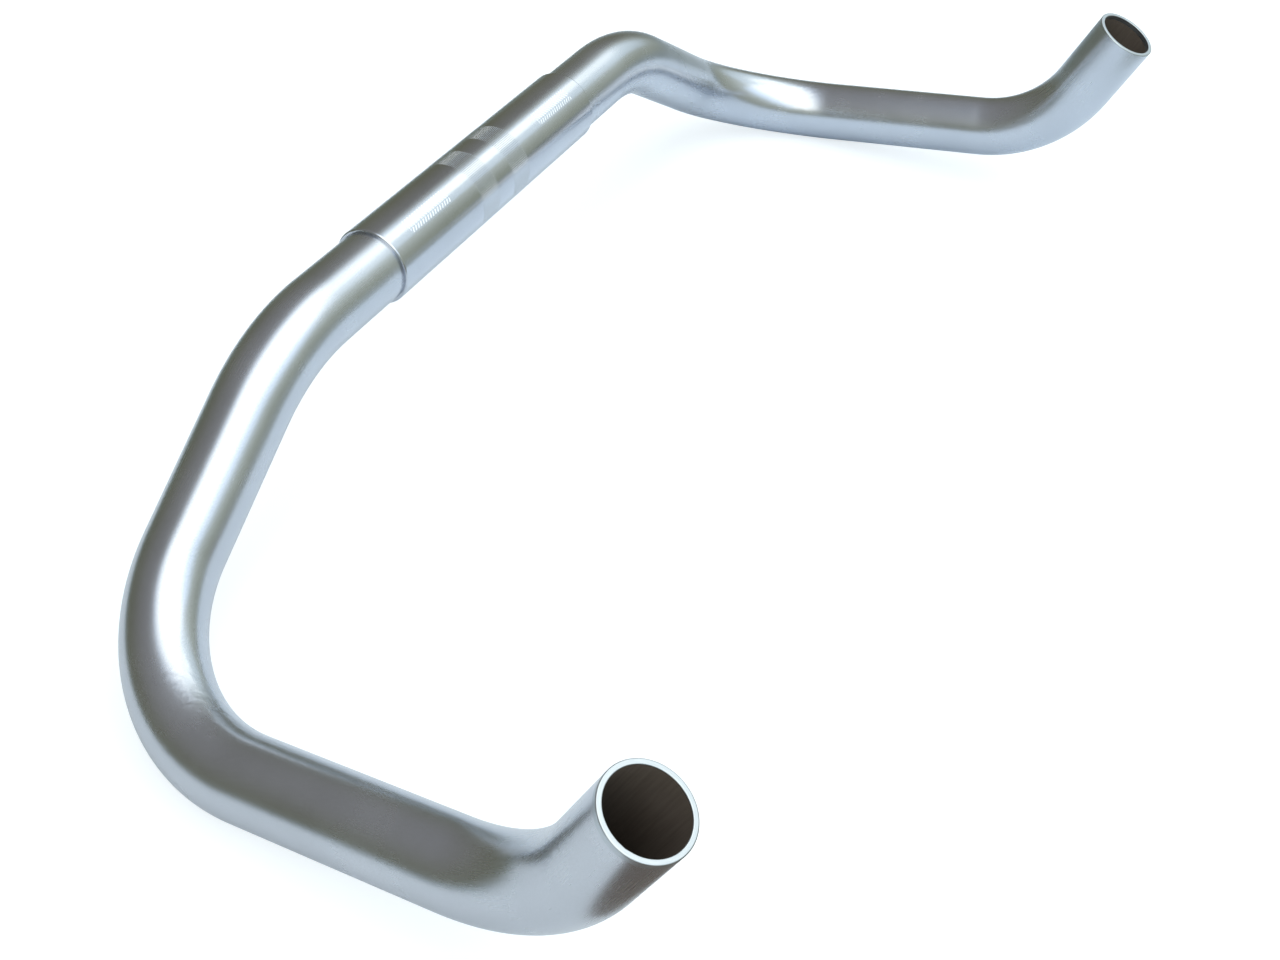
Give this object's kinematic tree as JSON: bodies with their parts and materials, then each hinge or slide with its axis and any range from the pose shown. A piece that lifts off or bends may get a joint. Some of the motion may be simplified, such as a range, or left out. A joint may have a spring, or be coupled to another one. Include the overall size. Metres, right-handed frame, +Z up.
{
  "type": "bullhorn handlebar",
  "caption": "Bent aluminium tube with a pressed-on clamp sleeve; it drops to the sides, then runs forwards into open upturned horns.",
  "frame": {"origin": "centre of the stem clamp seat, on the axis of the sleeve", "axes": "+X runs along the clamp axis to the bar's own left side as a rider sits, -Y points forwards, the way the horns reach, and +Z points up with the bar standing on a table on its two lower bends"},
  "size_m": [0.4512, 0.1944, 0.08],
  "materials": {
    "tube_satin": "satin, bead-blasted and clear anodised",
    "sleeve_satin": "satin, turned and clear anodised, with two finely knurled bands"
  },
  "bodies": {
    "root": {"handlebar_tube": "tube_satin", "clamp_sleeve": "sleeve_satin"}
  },
  "joints": []
}
